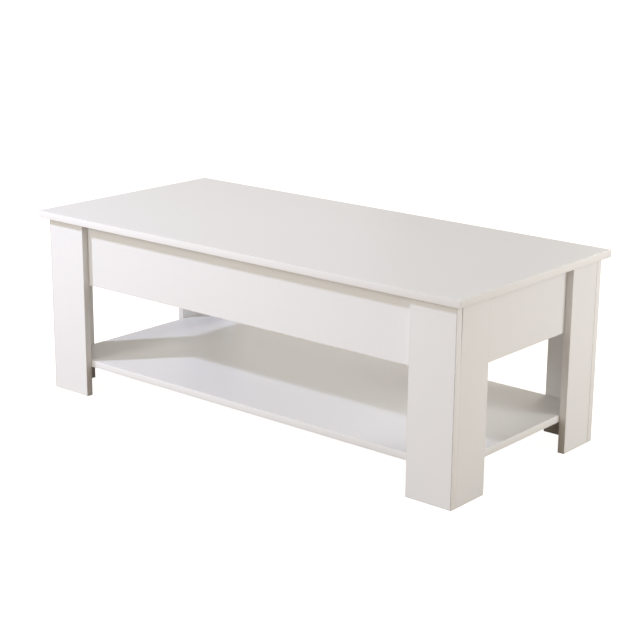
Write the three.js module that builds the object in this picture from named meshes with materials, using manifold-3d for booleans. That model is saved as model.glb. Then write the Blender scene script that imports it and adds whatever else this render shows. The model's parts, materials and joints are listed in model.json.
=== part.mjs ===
// Lift top coffee table: a white board table with an open lower shelf. Its top rises and comes
// forward on a spring-assisted parallelogram lift, and opens the storage compartment below it.
// Millimetres. X runs along the table, Y from front to back, Z up from the floor.
// The origin is on the floor, under the middle of the table top.

import * as THREE from 'three';
import { mergeVertices } from 'three/addons/utils/BufferGeometryUtils.js';
import Module from 'manifold-3d';

const wasm = await Module();
wasm.setup();

// ---------------------------------------------------------------- driving dimensions

const TOP_LENGTH = 1100;
const TOP_DEPTH = 510;
const TABLE_HEIGHT = 397;
const BOARD = 15;
const END_OVERHANG = 16.5;
const FRONT_OVERHANG = 17;
const REAR_OVERHANG = 8;
const LEG_WIDTH = 102.5;
const APRON_UNDERSIDE = 246;
const SHELF_SURFACE = 79;
const BUMPER = { radius: 5, height: 1.2, alongApron: 0.72 };

// Clearance between parts that are fixed together, and round a pin that turns.
const GAP = 0.3;
const SLACK = 0.4;

const ARM_LENGTH = 195;
const ARM_WIDTH = 22;
const ARM_THICKNESS = 2.5;
const PIVOT_SPACING = 120;
const PIVOT_TO_FRONT_APRON = 48;
const BASE_PIVOT_HEIGHT = 315;
const TOP_PIVOT_HEIGHT = 352;
const LIFTED_ANGLE = THREE.MathUtils.degToRad(105);
const STEEL = 2;
const WEB_SET_IN = 13.5;

// ---------------------------------------------------------------- places worked out from them

const UNDERSIDE = TABLE_HEIGHT - BOARD;
const CARCASS_TOP = UNDERSIDE - GAP - BUMPER.height;
const LEG_X = TOP_LENGTH / 2 - END_OVERHANG;
const LEG_FRONT = -TOP_DEPTH / 2 + FRONT_OVERHANG;
const LEG_REAR = TOP_DEPTH / 2 - REAR_OVERHANG;
const BOX_X = LEG_X - BOARD;
const BOX_FRONT = LEG_FRONT + BOARD;
const BOX_REAR = LEG_REAR - BOARD;
const INSIDE_X = BOX_X - BOARD;
const INSIDE_FRONT = BOX_FRONT + BOARD;
const INSIDE_REAR = BOX_REAR - BOARD;
const FLOOR_SURFACE = APRON_UNDERSIDE + BOARD;

const REST_ANGLE = Math.asin((TOP_PIVOT_HEIGHT - BASE_PIVOT_HEIGHT) / ARM_LENGTH);
const ARM_REACH = ARM_LENGTH * Math.cos(REST_ANGLE);
const FRONT_BASE_PIVOT = { y: INSIDE_FRONT + PIVOT_TO_FRONT_APRON, z: BASE_PIVOT_HEIGHT };
const REAR_BASE_PIVOT = { y: FRONT_BASE_PIVOT.y + PIVOT_SPACING, z: BASE_PIVOT_HEIGHT };
const FRONT_TOP_PIVOT = { y: FRONT_BASE_PIVOT.y + ARM_REACH, z: TOP_PIVOT_HEIGHT };
const REAR_TOP_PIVOT = { y: REAR_BASE_PIVOT.y + ARM_REACH, z: TOP_PIVOT_HEIGHT };

// The upright webs of both plates share one plane. The front arms turn on its inner side and the
// rear arms on its outer side, so that neither pair meets the other.
const WEB_OUTER = INSIDE_X - WEB_SET_IN;
const WEB_INNER = WEB_OUTER - STEEL;
const FRONT_ARM_OUTER = WEB_INNER - GAP;
const FRONT_ARM_INNER = FRONT_ARM_OUTER - ARM_THICKNESS;
const REAR_ARM_INNER = WEB_OUTER + GAP;
const REAR_ARM_OUTER = REAR_ARM_INNER + ARM_THICKNESS;

const RIVET = { radius: 4, headRadius: 7, headHeight: 2.2 };
const SHAFT = { radius: 6, pastPlate: 4 };
const SHAFT_CAP = { radius: 10, neck: 8, rim: 1.5, thickness: 3 };
const SCREW = { radius: 2, headRadius: 4, headHeight: 2.2, length: 13, tip: 4 };
const WIRE_RADIUS = 1.5;

// A domed head is flat over this share of its radius, and its dome takes this share of its height.
const HEAD_FLAT = 0.6;
const HEAD_DOME = 0.6;

// How many sides stand in for a circle.
const ROUND = { screw: 12, pin: 16, rivet: 18, shaft: 24 };

// ---------------------------------------------------------------- finishes

const FINISHES = {
  white: { color: 0xe9e6e4, roughness: 0.38, metalness: 0 },
  steel: { color: 0x2b2c2e, roughness: 0.45, metalness: 0.6 },
  zinc: { color: 0xb4b6b8, roughness: 0.32, metalness: 1 },
  spring: { color: 0x8b8d90, roughness: 0.3, metalness: 1 },
  rubber: { color: 0xd9d8d4, roughness: 0.6, metalness: 0 },
};

const X_AXIS = new THREE.Vector3(1, 0, 0);
const Y_AXIS = new THREE.Vector3(0, 1, 0);
const Z_AXIS = new THREE.Vector3(0, 0, 1);

// ---------------------------------------------------------------- shapes and solids

function part(name, finish, geometry) {
  const mesh = new THREE.Mesh(geometry, new THREE.MeshStandardMaterial(FINISHES[finish]));
  mesh.name = name;
  return mesh;
}

function block(low, high) {
  const size = high.map((value, axis) => value - low[axis]);
  const middle = high.map((value, axis) => (value + low[axis]) / 2);
  return new THREE.BoxGeometry(...size).translate(...middle);
}

// Lays an outline that is drawn as (y, z) in a plate that stands across X.
function uprightPlate(outline, lowX, highX) {
  const plate = new THREE.ExtrudeGeometry(outline, {
    depth: highX - lowX,
    bevelEnabled: false,
    curveSegments: 10,
  });
  plate.applyMatrix4(new THREE.Matrix4().makeBasis(Y_AXIS, Z_AXIS, X_AXIS));
  return plate.translate(lowX, 0, 0);
}

function roundHole(outline, centre, radius) {
  const hole = new THREE.Path();
  hole.absarc(centre.y, centre.z, radius, 0, 2 * Math.PI, true);
  outline.holes.push(hole);
}

// A rectangle in (y, z) whose lower corners are rounded.
function webOutline(front, rear, bottom, top, corner) {
  const outline = new THREE.Shape();
  outline.moveTo(rear, top);
  outline.lineTo(front, top);
  outline.lineTo(front, bottom + corner);
  outline.absarc(front + corner, bottom + corner, corner, Math.PI, 1.5 * Math.PI, false);
  outline.lineTo(rear - corner, bottom);
  outline.absarc(rear - corner, bottom + corner, corner, 1.5 * Math.PI, 2 * Math.PI, false);
  outline.closePath();
  return outline;
}

// A solid of revolution about an axis: its profile is a list of [radius, distance] from the start.
function turned(profile, axis, start, sides) {
  const points = profile.map(([radius, along]) => new THREE.Vector2(radius, along));
  const solid = new THREE.LatheGeometry(points, sides);
  const turn = new THREE.Quaternion().setFromUnitVectors(Y_AXIS, axis);
  solid.applyQuaternion(turn);
  return solid.translate(...start);
}

function rod(radius, length, axis, start, sides) {
  const profile = [
    [0, 0],
    [radius, 0],
    [radius, length],
    [0, length],
  ];
  return turned(profile, axis, start, sides);
}

function solidOf(geometry) {
  const bare = geometry.clone();
  bare.deleteAttribute('normal');
  bare.deleteAttribute('uv');
  const merged = mergeVertices(bare, 1e-4);
  return new wasm.Manifold(
    new wasm.Mesh({
      numProp: 3,
      vertProperties: merged.attributes.position.array,
      triVerts: new Uint32Array(merged.index.array),
    }),
  );
}

function geometryOf(solid) {
  const mesh = solid.getMesh();
  const geometry = new THREE.BufferGeometry();
  geometry.setAttribute('position', new THREE.BufferAttribute(mesh.vertProperties, mesh.numProp));
  geometry.setIndex(new THREE.BufferAttribute(mesh.triVerts, 1));
  const flat = geometry.toNonIndexed();
  flat.computeVertexNormals();
  return flat;
}

function joined(...geometries) {
  return geometryOf(geometries.map(solidOf).reduce((whole, piece) => whole.add(piece)));
}

function cut(geometry, tools) {
  return geometryOf(tools.reduce((whole, tool) => whole.subtract(solidOf(tool)), solidOf(geometry)));
}

// ---------------------------------------------------------------- fasteners

// A pan head screw whose head starts at `start` and whose point faces along `axis`.
function screwGeometry(axis, start) {
  const { radius, headRadius, headHeight, length, tip } = SCREW;
  const profile = [
    [0, 0],
    [HEAD_FLAT * headRadius, 0],
    [headRadius, HEAD_DOME * headHeight],
    [headRadius, headHeight],
    [radius, headHeight],
    [radius, length - tip],
    [0, length],
  ];
  return turned(profile, axis, start, ROUND.screw);
}

function screwHole(axis, start) {
  return rod(SCREW.radius + GAP, SCREW.length + GAP, axis, start, ROUND.screw);
}

// A rivet with a head at each end, from one outer face to the other along X.
function rivetGeometry(innerFace, outerFace, pivot) {
  const { radius, headRadius, headHeight } = RIVET;
  const length = outerFace - innerFace + 2 * headHeight;
  const profile = [
    [0, 0],
    [HEAD_FLAT * headRadius, 0],
    [headRadius, HEAD_DOME * headHeight],
    [headRadius, headHeight],
    [radius, headHeight],
    [radius, length - headHeight],
    [headRadius, length - headHeight],
    [headRadius, length - HEAD_DOME * headHeight],
    [HEAD_FLAT * headRadius, length],
    [0, length],
  ];
  return turned(profile, X_AXIS, [innerFace - headHeight, pivot.y, pivot.z], ROUND.rivet);
}

// ---------------------------------------------------------------- the lift, one side

// How far each plate reaches past its pivots, and the radius of its corners.
const BASE_PLATE_REACH = { front: 36, rear: 22, up: 36, step: 18, corner: 6 };
const TOP_PLATE_REACH = { ends: 16, down: 14, corner: 12 };
const BASE_PLATE_ABOVE_FLOOR = 6;
const TOP_FLANGE = 30;
const TOP_SCREW_FROM_EDGE = 10;

// Where the screws stand along each plate, as shares of its length.
const BASE_SCREW_PLACES = [0.1, 0.5, 0.9];
const TOP_SCREW_PLACES = [0.12, 0.5, 0.88];

const BASE_PLATE = {
  front: FRONT_BASE_PIVOT.y - BASE_PLATE_REACH.front,
  rear: REAR_BASE_PIVOT.y + BASE_PLATE_REACH.rear,
  bottom: FLOOR_SURFACE + BASE_PLATE_ABOVE_FLOOR,
  step: BASE_PIVOT_HEIGHT - BASE_PLATE_REACH.step,
  top: BASE_PIVOT_HEIGHT + BASE_PLATE_REACH.up,
};
const BASE_FLANGE_INNER = INSIDE_X - GAP - STEEL;
const BASE_SCREW_HEIGHT = (BASE_PLATE.bottom + BASE_PLATE.step) / 2;
const BASE_SCREW_HEAD = BASE_FLANGE_INNER - GAP - SCREW.headHeight;
const BASE_SCREWS = BASE_SCREW_PLACES.map((share) => ({
  y: THREE.MathUtils.lerp(BASE_PLATE.front, BASE_PLATE.rear, share),
  z: BASE_SCREW_HEIGHT,
}));

const TOP_PLATE = {
  front: FRONT_TOP_PIVOT.y - TOP_PLATE_REACH.ends,
  rear: REAR_TOP_PIVOT.y + TOP_PLATE_REACH.ends,
  bottom: TOP_PIVOT_HEIGHT - TOP_PLATE_REACH.down,
  top: UNDERSIDE - GAP,
  inner: WEB_OUTER - TOP_FLANGE,
};
const TOP_SCREW_X = TOP_PLATE.inner + TOP_SCREW_FROM_EDGE;
const TOP_SCREW_HEAD = TOP_PLATE.top - STEEL - GAP - SCREW.headHeight;
const TOP_SCREWS = TOP_SCREW_PLACES.map((share) =>
  THREE.MathUtils.lerp(TOP_PLATE.front, TOP_PLATE.rear, share),
);

const SPRING = {
  outerEnd: FRONT_ARM_INNER - 1,
  coilRadius: 9.6,
  turns: 4,
  pitch: 3.4,
  armLeg: 46,
  baseLeg: 16,
  bend: 4,
};
const SPRING_ANCHOR = {
  y: FRONT_BASE_PIVOT.y,
  z: BASE_PIVOT_HEIGHT - SPRING.baseLeg,
};

// The stop that the front arm meets when the top is fully up.
const STOP_RADIUS = 3;
const STOP_ALONG_ARM = 30;
const STOP_OFFSET = ARM_WIDTH / 2 + STOP_RADIUS + GAP;
const STOP_PIN = {
  y: FRONT_BASE_PIVOT.y + STOP_ALONG_ARM * Math.cos(LIFTED_ANGLE) - STOP_OFFSET * Math.sin(LIFTED_ANGLE),
  z: BASE_PIVOT_HEIGHT + STOP_ALONG_ARM * Math.sin(LIFTED_ANGLE) + STOP_OFFSET * Math.cos(LIFTED_ANGLE),
};

// A Z section: a flange on the side apron, a step inwards, and the web that holds the pivots.
function basePlateGeometry() {
  const { front, rear, bottom, step, top } = BASE_PLATE;
  const flangeOutline = webOutline(front, rear, bottom, step, BASE_PLATE_REACH.corner);
  BASE_SCREWS.forEach((screw) => roundHole(flangeOutline, screw, SCREW.radius + GAP));
  const flange = uprightPlate(flangeOutline, BASE_FLANGE_INNER, INSIDE_X - GAP);
  const shelf = block([WEB_INNER, front, step - STEEL], [INSIDE_X - GAP, rear, step]);
  const web = block([WEB_INNER, front, step - STEEL], [WEB_OUTER, rear, top]);
  const stopStart = [FRONT_ARM_INNER, STOP_PIN.y, STOP_PIN.z];
  const stop = rod(STOP_RADIUS, ARM_THICKNESS + STEEL, X_AXIS, stopStart, ROUND.pin);
  const bore = (centre, radius) =>
    rod(radius, 3 * STEEL, X_AXIS, [WEB_INNER - STEEL, centre.y, centre.z], ROUND.rivet);
  return cut(joined(flange, shelf, web, stop), [
    bore(FRONT_BASE_PIVOT, SHAFT.radius + GAP),
    bore(REAR_BASE_PIVOT, RIVET.radius + GAP),
    bore(SPRING_ANCHOR, WIRE_RADIUS + GAP),
  ]);
}

// An angle: a flange under the table top and a web that hangs down to the pivots.
function topPlateGeometry() {
  const { front, rear, bottom, top, inner } = TOP_PLATE;
  const webShape = webOutline(front, rear, bottom, top, TOP_PLATE_REACH.corner);
  roundHole(webShape, FRONT_TOP_PIVOT, RIVET.radius + GAP);
  roundHole(webShape, REAR_TOP_PIVOT, RIVET.radius + GAP);
  const web = uprightPlate(webShape, WEB_INNER, WEB_OUTER);
  const flange = block([inner, front, top - STEEL], [WEB_OUTER, rear, top]);
  const holes = TOP_SCREWS.map((y) => screwHole(Z_AXIS, [TOP_SCREW_X, y, TOP_SCREW_HEAD]));
  return cut(joined(web, flange), holes);
}

// A flat bar with round ends and a bore at each pivot.
function armGeometry(basePivot, topPivot, baseBore, lowX, highX) {
  const radius = ARM_WIDTH / 2;
  const across = Math.PI / 2;
  const outline = new THREE.Shape();
  outline.absarc(basePivot.y, basePivot.z, radius, REST_ANGLE + across, REST_ANGLE + 3 * across, false);
  outline.absarc(topPivot.y, topPivot.z, radius, REST_ANGLE - across, REST_ANGLE + across, false);
  outline.closePath();
  roundHole(outline, basePivot, baseBore);
  roundHole(outline, topPivot, RIVET.radius + SLACK);
  return uprightPlate(outline, lowX, highX);
}

const POINTS_PER_TURN = 14;
const WIRE_STEPS = 96;

// A torsion spring round the cross shaft. One leg is hooked into the base plate, and the other
// presses up under the front arm.
class SpringLine extends THREE.Curve {
  constructor() {
    super();
    const { outerEnd, coilRadius, turns, pitch, armLeg, baseLeg, bend } = SPRING;
    const armSide = ARM_WIDTH / 2 + WIRE_RADIUS + GAP;
    const coilStart = outerEnd - WIRE_RADIUS;
    const innerEnd = coilStart - turns * pitch;
    const along = new THREE.Vector2(Math.cos(REST_ANGLE), Math.sin(REST_ANGLE));
    const below = new THREE.Vector2(along.y, -along.x);
    const at = (x, distance, offset) =>
      new THREE.Vector3(
        x,
        FRONT_BASE_PIVOT.y + distance * along.x + offset * below.x,
        BASE_PIVOT_HEIGHT + distance * along.y + offset * below.y,
      );
    // The coil starts at its lowest point and ends square below the arm.
    const coil = [];
    const steps = POINTS_PER_TURN * turns;
    const start = -Math.PI / 2;
    const sweep = 2 * Math.PI * turns + REST_ANGLE;
    for (let step = 0; step <= steps; step += 1) {
      const share = step / steps;
      const angle = start + sweep * share;
      coil.push(
        new THREE.Vector3(
          THREE.MathUtils.lerp(coilStart, innerEnd, share),
          FRONT_BASE_PIVOT.y + coilRadius * Math.cos(angle),
          BASE_PIVOT_HEIGHT + coilRadius * Math.sin(angle),
        ),
      );
    }
    const hookX = WEB_OUTER - STEEL / 2;
    const hook = [
      new THREE.Vector3(hookX, SPRING_ANCHOR.y, SPRING_ANCHOR.z),
      new THREE.Vector3(outerEnd, SPRING_ANCHOR.y, SPRING_ANCHOR.z),
      new THREE.Vector3(
        outerEnd - 2 * WIRE_RADIUS,
        SPRING_ANCHOR.y - WIRE_RADIUS,
        BASE_PIVOT_HEIGHT - baseLeg + WIRE_RADIUS,
      ),
    ];
    const leg = [
      at(innerEnd, armLeg / 2, coilRadius + WIRE_RADIUS / 2),
      at(innerEnd, armLeg - bend, armSide - WIRE_RADIUS / 2),
      at(innerEnd + bend, armLeg, armSide),
      at(FRONT_ARM_OUTER - WIRE_RADIUS, armLeg, armSide),
    ];
    this.line = new THREE.CatmullRomCurve3([...hook, ...coil, ...leg], false, 'centripetal');
  }

  getPoint(share, target) {
    return this.line.getPoint(share, target);
  }
}

function springGeometry() {
  const section = new THREE.Shape();
  section.absarc(0, 0, WIRE_RADIUS, 0, 2 * Math.PI, false);
  return new THREE.ExtrudeGeometry(section, {
    steps: WIRE_STEPS,
    curveSegments: 3,
    bevelEnabled: false,
    extrudePath: new SpringLine(),
  });
}

function capGeometry() {
  const { y, z } = FRONT_BASE_PIVOT;
  const { radius, neck, rim, thickness } = SHAFT_CAP;
  const bore = SHAFT.radius + GAP;
  const profile = [
    [bore, 0],
    [radius, 0],
    [radius, rim],
    [neck, thickness],
    [bore, thickness],
    [bore, 0],
  ];
  return turned(profile, X_AXIS, [WEB_OUTER + GAP, y, z], ROUND.rivet);
}

// One side of the lift, drawn for the right end. The left end is its mirror image.
function liftSide(side, mirror) {
  const group = new THREE.Group();
  group.scale.x = mirror;
  const add = (name, finish, geometry) => group.add(part(`${name}_${side}`, finish, geometry));

  add('lift_base_plate', 'steel', basePlateGeometry());
  add('lift_top_plate', 'steel', topPlateGeometry());
  add(
    'front_arm',
    'steel',
    armGeometry(FRONT_BASE_PIVOT, FRONT_TOP_PIVOT, SHAFT.radius + GAP, FRONT_ARM_INNER, FRONT_ARM_OUTER),
  );
  add(
    'rear_arm',
    'steel',
    armGeometry(REAR_BASE_PIVOT, REAR_TOP_PIVOT, RIVET.radius + SLACK, REAR_ARM_INNER, REAR_ARM_OUTER),
  );
  add('front_top_rivet', 'zinc', rivetGeometry(FRONT_ARM_INNER - GAP, WEB_OUTER + GAP, FRONT_TOP_PIVOT));
  add('rear_base_rivet', 'zinc', rivetGeometry(WEB_INNER - GAP, REAR_ARM_OUTER + GAP, REAR_BASE_PIVOT));
  add('rear_top_rivet', 'zinc', rivetGeometry(WEB_INNER - GAP, REAR_ARM_OUTER + GAP, REAR_TOP_PIVOT));
  add('lift_spring', 'spring', springGeometry());
  add('shaft_cap', 'zinc', capGeometry());
  BASE_SCREWS.forEach((screw, index) => {
    add(`base_screw_${index + 1}`, 'zinc', screwGeometry(X_AXIS, [BASE_SCREW_HEAD, screw.y, screw.z]));
  });
  TOP_SCREWS.forEach((y, index) => {
    add(`top_screw_${index + 1}`, 'zinc', screwGeometry(Z_AXIS, [TOP_SCREW_X, y, TOP_SCREW_HEAD]));
  });
  return group;
}

function crossShaft() {
  const end = WEB_OUTER + SHAFT.pastPlate;
  const { y, z } = FRONT_BASE_PIVOT;
  return part('cross_shaft', 'zinc', rod(SHAFT.radius, 2 * end, X_AXIS, [-end, y, z], ROUND.shaft));
}

// ---------------------------------------------------------------- boards

function tableTop() {
  const low = [-TOP_LENGTH / 2, -TOP_DEPTH / 2, UNDERSIDE];
  const high = [TOP_LENGTH / 2, TOP_DEPTH / 2, TABLE_HEIGHT];
  const holes = [1, -1].flatMap((mirror) =>
    TOP_SCREWS.map((y) => screwHole(Z_AXIS, [mirror * TOP_SCREW_X, y, TOP_SCREW_HEAD])),
  );
  return part('table_top', 'white', cut(block(low, high), holes));
}

// Each leg is an angle of two boards. The wide board faces the front or the rear, and its end
// covers the edge of the return board, which stands along the end of the table.
function leg(side, mirror, place, face, inwards) {
  const group = new THREE.Group();
  group.scale.x = mirror;
  const back = face + inwards * BOARD;
  const end = face + inwards * LEG_WIDTH;
  const wide = block(
    [LEG_X - LEG_WIDTH, Math.min(face, back), 0],
    [LEG_X, Math.max(face, back), CARCASS_TOP],
  );
  const turn = block([BOX_X, Math.min(back, end), 0], [LEG_X, Math.max(back, end), CARCASS_TOP]);
  group.add(part(`leg_board_${place}_${side}`, 'white', wide));
  group.add(part(`leg_return_${place}_${side}`, 'white', turn));
  return group;
}

function longApron(name, low, high) {
  return part(
    name,
    'white',
    block([-BOX_X, low, APRON_UNDERSIDE], [BOX_X, high, CARCASS_TOP]),
  );
}

function endApron(side, mirror) {
  const panel = block(
    [INSIDE_X, INSIDE_FRONT, APRON_UNDERSIDE],
    [BOX_X, INSIDE_REAR, CARCASS_TOP],
  );
  const holes = BASE_SCREWS.map((screw) => screwHole(X_AXIS, [BASE_SCREW_HEAD, screw.y, screw.z]));
  const apron = part(`end_apron_${side}`, 'white', cut(panel, holes));
  apron.scale.x = mirror;
  return apron;
}

function compartmentFloor() {
  const low = [-INSIDE_X, INSIDE_FRONT, APRON_UNDERSIDE];
  const high = [INSIDE_X, INSIDE_REAR, FLOOR_SURFACE];
  return part('compartment_floor', 'white', block(low, high));
}

function lowerShelf() {
  const low = [-BOX_X, BOX_FRONT, SHELF_SURFACE - BOARD];
  const high = [BOX_X, BOX_REAR, SHELF_SURFACE];
  return part('lower_shelf', 'white', block(low, high));
}

// ---------------------------------------------------------------- small fittings

const BRACKET = { leaf: 28, width: 30, thickness: 2 };

// An angle under the shelf, against the inner face of a leg's wide board.
function shelfBracket(side, mirror, place, face, inwards) {
  const { leaf, width, thickness } = BRACKET;
  const wall = face + inwards * (BOARD + GAP);
  const top = SHELF_SURFACE - BOARD - GAP;
  const x = LEG_X - LEG_WIDTH / 2;
  const slab = (depth, height) =>
    block(
      [x - width / 2, Math.min(wall, wall + inwards * depth), top - height],
      [x + width / 2, Math.max(wall, wall + inwards * depth), top],
    );
  const bracket = part(
    `shelf_bracket_${place}_${side}`,
    'zinc',
    joined(slab(thickness, leaf), slab(leaf, thickness)),
  );
  bracket.scale.x = mirror;
  return bracket;
}

// A soft pad in the middle of an apron's top edge, which the closed table top rests on.
function bumper(side, mirror, place, face, inwards) {
  const { radius, height, alongApron } = BUMPER;
  const x = mirror * alongApron * INSIDE_X;
  const y = face + inwards * 1.5 * BOARD;
  const pad = rod(radius, height, Z_AXIS, [x, y, CARCASS_TOP], ROUND.pin);
  return part(`bumper_${place}_${side}`, 'rubber', pad);
}

// ---------------------------------------------------------------- the table

const table = new THREE.Group();
const SIDES = [
  ['left', -1],
  ['right', 1],
];
const PLACES = [
  ['front', LEG_FRONT, 1],
  ['rear', LEG_REAR, -1],
];

table.add(tableTop());
table.add(longApron('front_apron', BOX_FRONT, INSIDE_FRONT));
table.add(longApron('rear_apron', INSIDE_REAR, BOX_REAR));
table.add(compartmentFloor());
table.add(lowerShelf());
table.add(crossShaft());
SIDES.forEach(([side, mirror]) => {
  table.add(endApron(side, mirror));
  table.add(liftSide(side, mirror));
  PLACES.forEach(([place, face, inwards]) => {
    table.add(leg(side, mirror, place, face, inwards));
    table.add(shelfBracket(side, mirror, place, face, inwards));
    table.add(bumper(side, mirror, place, face, inwards));
  });
});

export default table;
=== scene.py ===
"""A white lift top coffee table: melamine boards with edge bands, an open shelf and a sprung lift."""

import json
import math

import bmesh
import bpy
from mathutils import Matrix, Vector


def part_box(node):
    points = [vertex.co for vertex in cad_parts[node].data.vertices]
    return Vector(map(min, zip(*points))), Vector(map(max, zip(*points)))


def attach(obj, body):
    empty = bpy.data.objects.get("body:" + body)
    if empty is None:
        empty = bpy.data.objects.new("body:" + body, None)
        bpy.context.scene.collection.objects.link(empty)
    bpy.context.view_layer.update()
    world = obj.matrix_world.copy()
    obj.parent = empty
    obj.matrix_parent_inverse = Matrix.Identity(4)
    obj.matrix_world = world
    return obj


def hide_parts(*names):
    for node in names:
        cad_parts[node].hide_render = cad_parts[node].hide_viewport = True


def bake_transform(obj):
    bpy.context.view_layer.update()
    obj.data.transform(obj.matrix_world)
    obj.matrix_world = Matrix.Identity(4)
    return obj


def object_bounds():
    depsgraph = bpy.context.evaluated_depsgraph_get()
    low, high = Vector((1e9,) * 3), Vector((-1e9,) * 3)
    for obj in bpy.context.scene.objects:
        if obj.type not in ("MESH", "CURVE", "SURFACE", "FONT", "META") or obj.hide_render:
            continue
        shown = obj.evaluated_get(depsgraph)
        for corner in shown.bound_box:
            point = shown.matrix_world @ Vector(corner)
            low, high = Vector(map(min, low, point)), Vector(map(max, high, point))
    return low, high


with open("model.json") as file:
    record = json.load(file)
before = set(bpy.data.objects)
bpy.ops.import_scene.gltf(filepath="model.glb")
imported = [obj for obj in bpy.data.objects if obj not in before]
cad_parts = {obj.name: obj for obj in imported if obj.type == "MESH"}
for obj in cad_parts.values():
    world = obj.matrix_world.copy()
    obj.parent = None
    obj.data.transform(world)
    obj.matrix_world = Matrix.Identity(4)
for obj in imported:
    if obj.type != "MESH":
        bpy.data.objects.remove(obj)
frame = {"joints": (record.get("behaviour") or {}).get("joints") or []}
cad_low, cad_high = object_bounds()

MM = 0.001
TINY = 1e-6
QUARTER = math.pi / 2
SIDES = {"left": -1, "right": 1}
PLACES = {"front": -1, "rear": 1}
X_AXIS = Vector((1, 0, 0))
Y_AXIS = Vector((0, 1, 0))
Z_AXIS = Vector((0, 0, 1))

joints = {joint["name"]: joint for joint in frame["joints"]}
FRONT_BASE_PIVOT = Vector(joints["lift"]["pos_m"])
REAR_BASE_PIVOT = Vector(joints["rear_arm_right_turn"]["pos_m"])
FRONT_TOP_PIVOT = Vector(joints["top_level"]["pos_m"])
ARM = (FRONT_TOP_PIVOT - FRONT_BASE_PIVOT) * Vector((0, 1, 1))
REAR_TOP_PIVOT = REAR_BASE_PIVOT + ARM
ALONG_ARM = ARM.normalized()
BELOW_ARM = Vector((0, ALONG_ARM.z, -ALONG_ARM.y))


# ------------------------------------------------------------------ material nodes


class Wire:
    """A number in a material's node tree. Arithmetic on it adds Math nodes."""

    def __init__(self, finish, socket):
        self.finish = finish
        self.socket = socket

    def maths(self, operation, *values):
        """One Math node."""
        inputs = dict(enumerate(values))
        return self.finish.node("ShaderNodeMath", {"operation": operation}, inputs)

    def __add__(self, other):
        return self.maths("ADD", self, other)

    def __sub__(self, other):
        return self.maths("SUBTRACT", self, other)

    def __rsub__(self, other):
        return self.maths("SUBTRACT", other, self)

    def __mul__(self, other):
        return self.maths("MULTIPLY", self, other)

    __radd__ = __add__
    __rmul__ = __mul__

    def between(self, low, high):
        """0 below low, 1 above high, and smooth in between."""
        settings = {"interpolation_type": "SMOOTHSTEP"}
        inputs = {"Value": self, "From Min": low, "From Max": high}
        return self.finish.node("ShaderNodeMapRange", settings, inputs)


class Finish:
    """A material under construction, with a Principled shader at its end."""

    def __init__(self, name, **constants):
        self.material = bpy.data.materials.new(name)
        self.material.use_nodes = True
        self.tree = self.material.node_tree
        self.shader = self.tree.nodes["Principled BSDF"]
        for socket, value in constants.items():
            self.shader.inputs[socket.replace("_", " ")].default_value = value

    def node(self, kind, settings=None, inputs=None, output=0):
        """Adds a node, makes its settings, and then fills its sockets with values or wires."""
        node = self.tree.nodes.new(kind)
        for key, value in (settings or {}).items():
            if key == "stops":
                self.set_stops(node.color_ramp, value)
            else:
                setattr(node, key, value)
        for key, value in (inputs or {}).items():
            self.feed(node.inputs[key], value)
        return Wire(self, node.outputs[output])

    def set_stops(self, ramp, stops):
        while len(ramp.elements) < len(stops):
            ramp.elements.new(1)
        for element, (position, colour) in zip(ramp.elements, stops):
            element.position = position
            element.color = (*colour, 1)

    def feed(self, socket, value):
        if isinstance(value, Wire):
            self.tree.links.new(value.socket, socket)
        else:
            socket.default_value = value

    def place(self, scale=(1, 1, 1)):
        """Object coordinates in metres, scaled along each axis."""
        point = self.node("ShaderNodeTexCoord", output="Object")
        return self.node("ShaderNodeMapping", None, {"Vector": point, "Scale": scale})

    def noise(self, size, detail=2, stretch=(1, 1, 1)):
        """Noise whose grains are about size metres across."""
        inputs = {"Vector": self.place(stretch), "Scale": 1 / size, "Detail": detail}
        return self.node("ShaderNodeTexNoise", None, inputs, "Fac")

    def cells(self, size, output="Distance"):
        """Cells about size metres across: the distance from their middles, or their colours."""
        inputs = {"Vector": self.place(), "Scale": 1 / size}
        return self.node("ShaderNodeTexVoronoi", None, inputs, output)

    def tint(self, share, first, second):
        """A colour between two, by share."""
        settings = {"data_type": "RGBA"}
        inputs = {0: share, 6: self.colour(first), 7: self.colour(second)}
        return self.node("ShaderNodeMix", settings, inputs, 2)

    def colour(self, value):
        return value if isinstance(value, Wire) else (*value, 1)

    def ramp(self, share, stops):
        """A colour picked from stops of (position, colour)."""
        return self.node("ShaderNodeValToRGB", {"stops": stops}, {0: share})

    def bump(self, height, depth, strength):
        """A surface normal that follows a height, in relief depth metres deep."""
        inputs = {"Height": height, "Distance": depth, "Strength": strength}
        return self.node("ShaderNodeBump", None, inputs)

    def done(self, **links):
        """Links what varies over the surface to the shader."""
        for socket, value in links.items():
            self.feed(self.shader.inputs[socket.replace("_", " ")], value)
        return self.material


# ------------------------------------------------------------------ finishes

WHITE = (0.80, 0.795, 0.79)
WHITE_SHADED = (0.775, 0.768, 0.76)
WHITE_RIM = (0.79, 0.775, 0.75)
RIM_SOIL = 0.5
RUBBED_SHEEN = 0.04
RIM_SHEEN = 0.04


def melamine(name, roughness):
    """White foil with a fine pearl, faint rubbing marks, and a slightly soiled rim."""
    finish = Finish(name, Specular_IOR_Level=0.5)
    rim = finish.node("ShaderNodeAttribute", {"attribute_name": "rim"}, output="Fac")
    cloud = finish.noise(350 * MM, detail=3)
    rubbed = finish.noise(120 * MM, detail=3)
    pearl = finish.noise(1.4 * MM)
    base = finish.tint(cloud, WHITE, WHITE_SHADED)
    soiled = finish.tint(rim * rim * RIM_SOIL * rubbed, base, WHITE_RIM)
    return finish.done(
        Base_Color=soiled,
        Roughness=roughness + RUBBED_SHEEN * (rubbed - 0.5) + RIM_SHEEN * rim,
        Normal=finish.bump(pearl, 0.02 * MM, strength=0.12),
    )


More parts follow.
